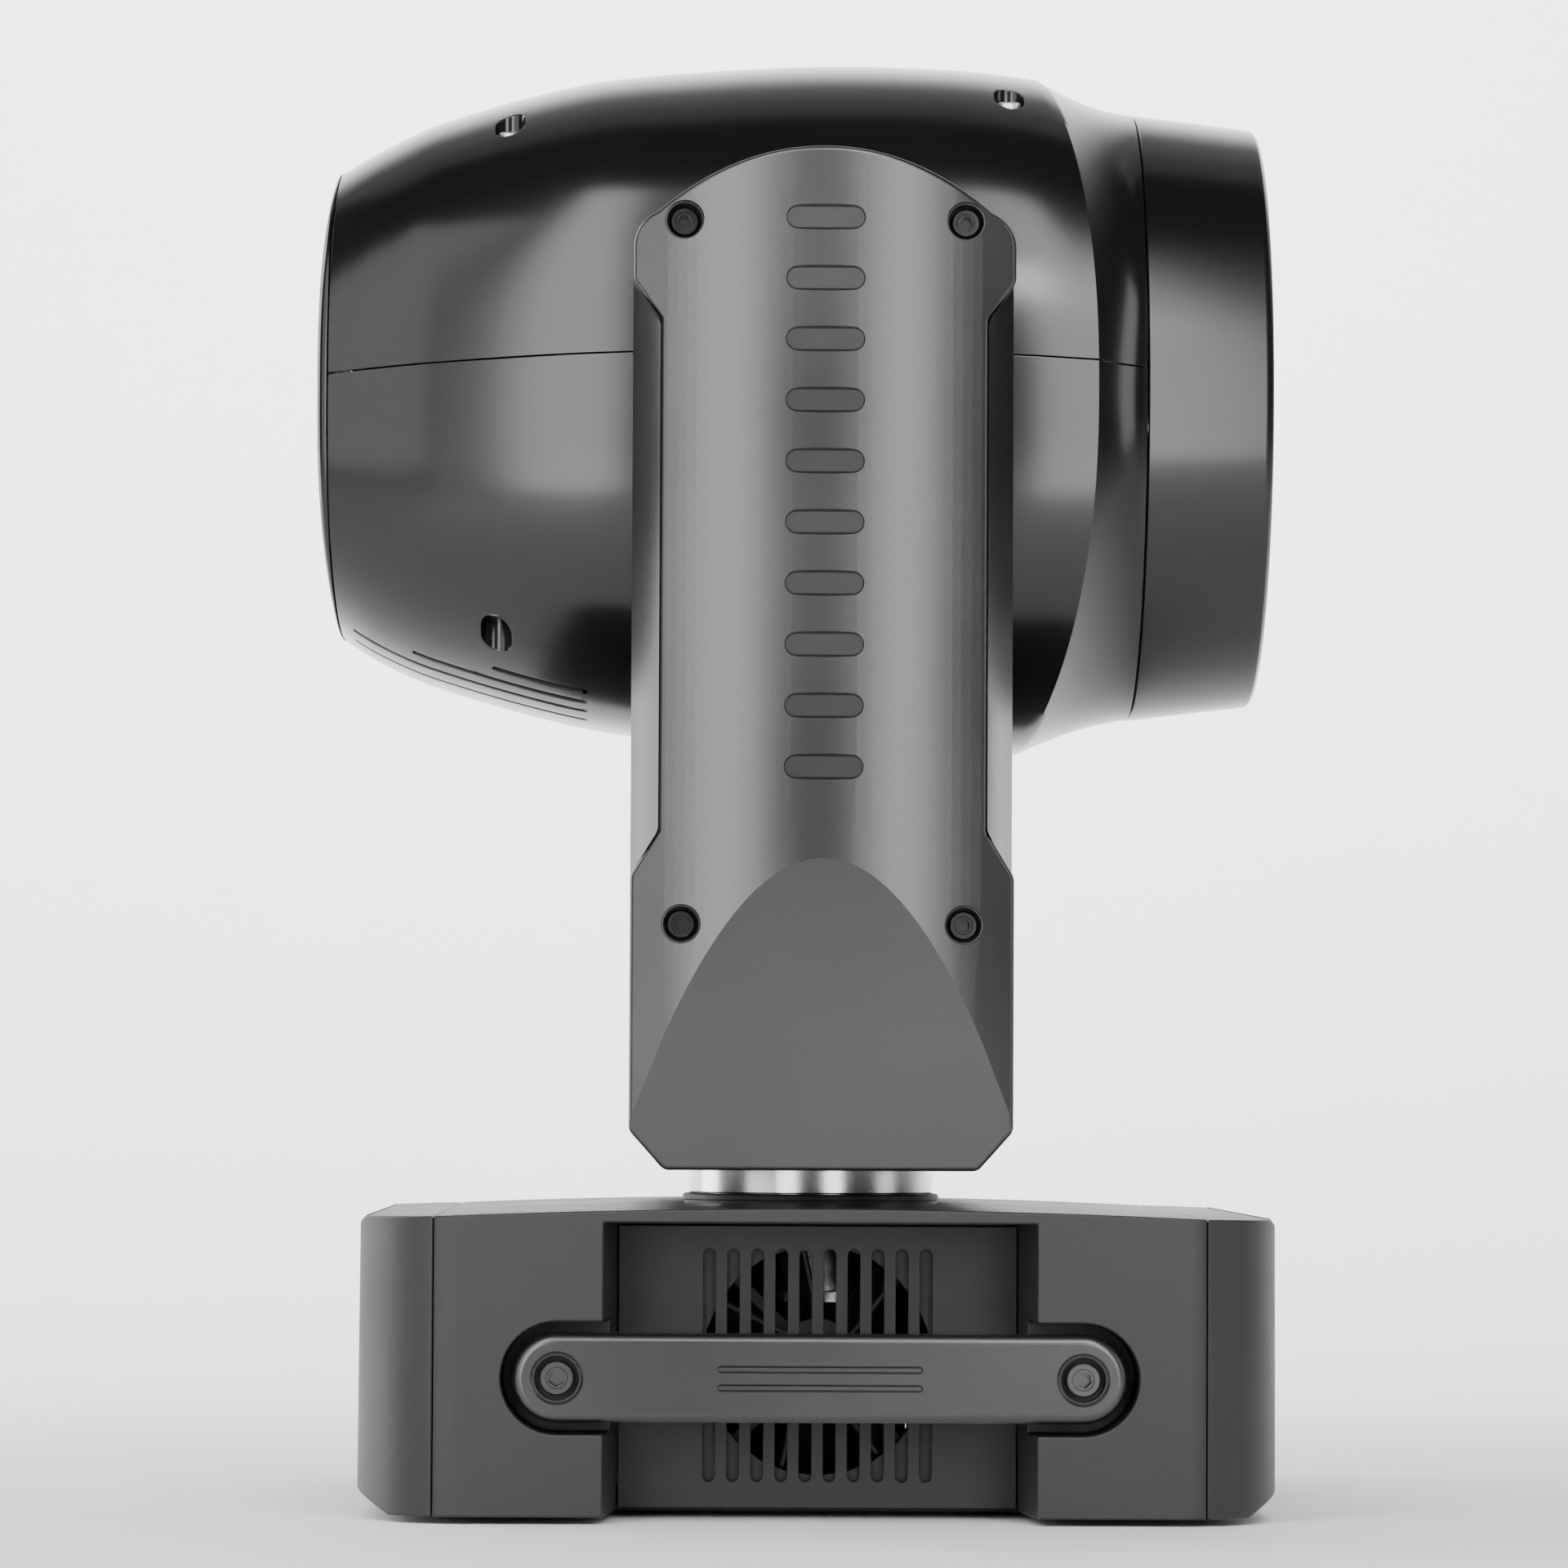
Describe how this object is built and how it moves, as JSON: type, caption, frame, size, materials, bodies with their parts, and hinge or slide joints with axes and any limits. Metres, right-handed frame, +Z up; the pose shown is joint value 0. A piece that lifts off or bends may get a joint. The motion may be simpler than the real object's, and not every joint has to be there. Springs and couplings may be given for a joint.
{
  "type": "moving head light",
  "caption": "Compact moving head stage light: a base with carrying handles, a panning two-armed yoke, and a tilting lamp head with a round front lens.",
  "frame": {"origin": "on the pan axis at floor level, where the feet rest", "axes": "+Z up along the pan axis, +X along the beam and out of the control end at rest, the tilt axis runs along Y"},
  "size_m": [0.2805, 0.31, 0.4326],
  "materials": {
    "base_plastic": "matte dark grey, fine moulded texture",
    "satin_grey": "satin dark grey, fine powder texture",
    "head_black": "semi-gloss black moulding",
    "dark_steel": "black coated sheet",
    "black_oxide": "black oxide screws",
    "machined_aluminium": "turned, bright",
    "bright_steel": "zinc plated",
    "black_rubber": "soft black rubber",
    "black_plastic": "satin black",
    "clear_glass": "clear, coated",
    "display_glass": "dark glossy window",
    "circuit_board": "green solder mask",
    "led_phosphor": "yellow phosphor under a clear dome"
  },
  "bodies": {
    "base": {"base_plate": "dark_steel", "base_shell_near": "base_plastic", "base_shell_far": "base_plastic", "base_end_front": "base_plastic", "base_end_rear": "base_plastic", "vent_panel_near": "base_plastic", "vent_panel_far": "base_plastic", "handle_near": "satin_grey", "handle_far": "satin_grey", "handle_screw_1": "black_oxide", "handle_screw_2": "black_oxide", "handle_screw_3": "black_oxide", "handle_screw_4": "black_oxide", "foot_1": "black_rubber", "foot_2": "black_rubber", "foot_3": "black_rubber", "foot_4": "black_rubber", "base_fan_frame": "black_plastic", "display_window": "display_glass", "power_inlet": "black_plastic", "power_outlet": "black_plastic", "data_in": "black_plastic", "data_out": "black_plastic", "power_supply": "bright_steel", "control_board": "circuit_board", "pan_motor": "dark_steel", "pan_belt": "black_rubber"},
    "yoke": {"pan_hub": "machined_aluminium", "yoke_frame": "dark_steel", "arm_cover_near": "satin_grey", "arm_cover_far": "satin_grey", "yoke_inner_cover": "satin_grey", "yoke_bottom_cover": "satin_grey", "tilt_motor": "dark_steel", "tilt_belt": "black_rubber", "tilt_bearing_near": "bright_steel", "tilt_bearing_far": "bright_steel"},
    "head": {"head_shell_top": "head_black", "head_shell_bottom": "head_black", "head_rear_grille": "head_black", "front_ring": "head_black", "front_lens": "clear_glass", "head_chassis": "bright_steel", "heat_sink": "machined_aluminium", "led_module": "led_phosphor", "tilt_axle_near": "bright_steel", "tilt_axle_far": "bright_steel"},
    "base_fan": {"base_fan_rotor": "black_plastic"},
    "pan_drive": {"pan_motor_pulley": "machined_aluminium"},
    "tilt_drive": {"tilt_motor_pulley": "machined_aluminium"},
    "tilt_lock": {"tilt_lock": "black_plastic"},
    "head_fan": {"head_fan_rotor": "black_plastic"},
    "colour_wheel": {"colour_wheel": "clear_glass"},
    "gobo_wheel": {"gobo_wheel": "bright_steel"},
    "zoom_carriage": {"zoom_carriage": "clear_glass"},
    "focus_carriage": {"focus_carriage": "clear_glass"},
    "menu_button_1": {"menu_button_1": "black_rubber"},
    "menu_button_2": {"menu_button_2": "black_rubber"},
    "menu_button_3": {"menu_button_3": "black_rubber"},
    "menu_button_4": {"menu_button_4": "black_rubber"}
  },
  "joints": [
    {"name": "pan", "type": "hinge", "parent": "base", "child": "yoke", "pos_m": [0, 0, 0.1], "axis": [0, 0, 1], "range_deg": [-270, 270]},
    {"name": "tilt", "type": "hinge", "parent": "yoke", "child": "head", "pos_m": [0, 0, 0.3276], "axis": [0, 1, 0], "range_deg": [-225, 45]},
    {"name": "pan_pulley_spin", "type": "hinge", "parent": "base", "child": "pan_drive", "pos_m": [0.07, 0, 0.056], "axis": [0, 0, 1], "range_deg": [-1350, 1350]},
    {"name": "tilt_pulley_spin", "type": "hinge", "parent": "yoke", "child": "tilt_drive", "pos_m": [0, -0.126, 0.128], "axis": [0, 1, 0], "range_deg": [-900, 180]},
    {"name": "base_fan_spin", "type": "hinge", "parent": "base", "child": "base_fan", "pos_m": [0, -0.1005, 0.045], "axis": [0, 1, 0], "continuous": true},
    {"name": "head_fan_spin", "type": "hinge", "parent": "head", "child": "head_fan", "pos_m": [-0.133, 0, 0.3276], "axis": [1, 0, 0], "continuous": true},
    {"name": "colour_wheel_spin", "type": "hinge", "parent": "head", "child": "colour_wheel", "pos_m": [-0.057, 0, 0.2936], "axis": [1, 0, 0], "continuous": true},
    {"name": "gobo_wheel_spin", "type": "hinge", "parent": "head", "child": "gobo_wheel", "pos_m": [-0.046, 0, 0.3616], "axis": [1, 0, 0], "continuous": true},
    {"name": "zoom_slide", "type": "slide", "parent": "head", "child": "zoom_carriage", "axis": [1, 0, 0], "range_m": [-0.018, 0.018]},
    {"name": "focus_slide", "type": "slide", "parent": "head", "child": "focus_carriage", "axis": [1, 0, 0], "range_m": [-0.012, 0.02]},
    {"name": "tilt_lock_slide", "type": "slide", "parent": "yoke", "child": "tilt_lock", "axis": [0, 0, 1], "range_m": [-0.005, 0.005]},
    {"name": "menu_button_1_press", "type": "slide", "parent": "base", "child": "menu_button_1", "axis": [1, 0, 0], "range_m": [-0.0012, 0], "stiffness_N_per_m": 600},
    {"name": "menu_button_2_press", "type": "slide", "parent": "base", "child": "menu_button_2", "axis": [1, 0, 0], "range_m": [-0.0012, 0], "stiffness_N_per_m": 600},
    {"name": "menu_button_3_press", "type": "slide", "parent": "base", "child": "menu_button_3", "axis": [1, 0, 0], "range_m": [-0.0012, 0], "stiffness_N_per_m": 600},
    {"name": "menu_button_4_press", "type": "slide", "parent": "base", "child": "menu_button_4", "axis": [1, 0, 0], "range_m": [-0.0012, 0], "stiffness_N_per_m": 600}
  ],
  "couplings": [
    {"joint": "pan_pulley_spin", "follows": "pan", "ratio": 5},
    {"joint": "tilt_pulley_spin", "follows": "tilt", "ratio": 4}
  ]
}
